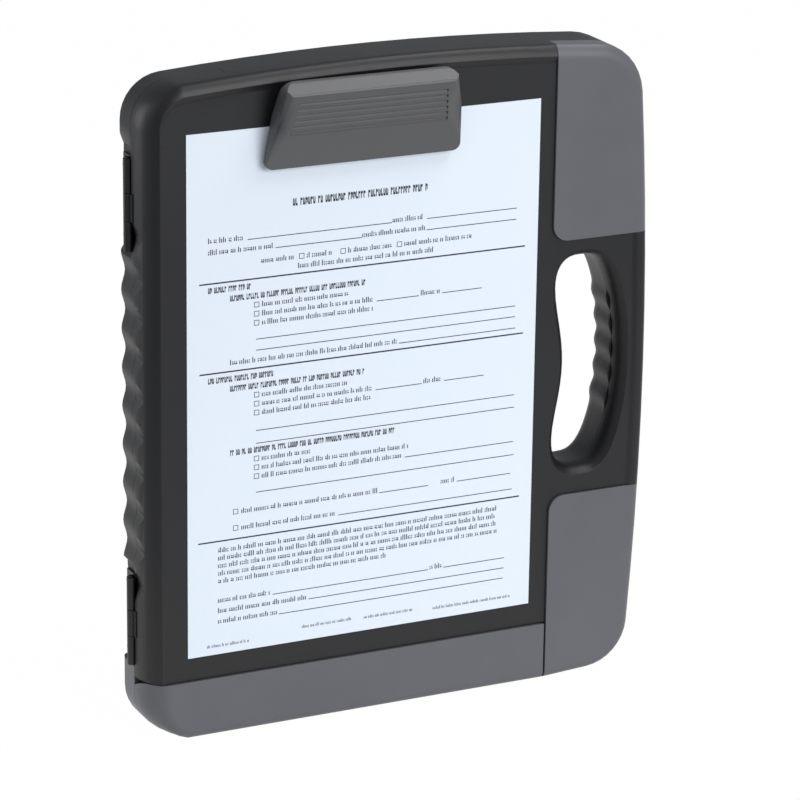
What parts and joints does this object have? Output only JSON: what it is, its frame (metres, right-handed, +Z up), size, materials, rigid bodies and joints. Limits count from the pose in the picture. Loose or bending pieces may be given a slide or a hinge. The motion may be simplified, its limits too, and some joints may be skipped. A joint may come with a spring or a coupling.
{
  "type": "storage clipboard box",
  "caption": "Portable clipboard box: a hinged lid with a clip and board, hollow case, hand hole with finger grip, grey corner covers and a pen compartment with a drop-down door",
  "frame": {"origin": "middle of the underside of the whole part's box, on the plane that the case stands on", "axes": "+Z up along the case's height, +X to the handle side, -Y out of the board's face"},
  "size_m": [0.3016, 0.056, 0.3683],
  "materials": {
    "black_plastic": "fine grained",
    "grey_plastic": "fine grained",
    "clip_plastic": "satin",
    "black_metal": "black coated",
    "steel": "zinc plated",
    "rubber": "matte",
    "paper": "uncoated paper"
  },
  "bodies": {
    "base": {"rear_shell": "black_plastic", "pen_tray": "grey_plastic", "tray_screws": "steel", "upper_hinge_base_leaf": "black_metal", "lower_hinge_base_leaf": "black_metal", "base_leaf_screws": "steel", "upper_hinge_pin": "steel", "lower_hinge_pin": "steel", "pen_door_pin": "steel"},
    "lid": {"front_shell": "black_plastic", "corner_cover_top": "grey_plastic", "corner_cover_bottom": "grey_plastic", "upper_hinge_lid_leaf": "black_metal", "lower_hinge_lid_leaf": "black_metal", "lid_leaf_screws": "steel", "clip_base": "clip_plastic", "clip_screws": "steel", "clip_pin": "steel", "clip_springs": "steel", "form_sheet": "paper"},
    "door": {"pen_door": "grey_plastic"},
    "clip": {"clip_lever": "clip_plastic", "clip_pad": "rubber"}
  },
  "joints": [
    {"name": "lid_hinge", "type": "hinge", "parent": "base", "child": "lid", "pos_m": [-0.1483, 0.01195, 0.19], "axis": [0, 0, -1], "range_deg": [0, 180]},
    {"name": "pen_door_hinge", "type": "hinge", "parent": "base", "child": "door", "pos_m": [-0.02, -0.00555, 0.0045], "axis": [1, 0, 0], "range_deg": [0, 90]},
    {"name": "clip_pivot", "type": "hinge", "parent": "lid", "child": "clip", "pos_m": [-0.0257, -0.01605, 0.3438], "axis": [-1, 0, 0], "range_deg": [0, 18], "stiffness_Nm_per_rad": 0.6, "springref_deg": -22.92}
  ]
}
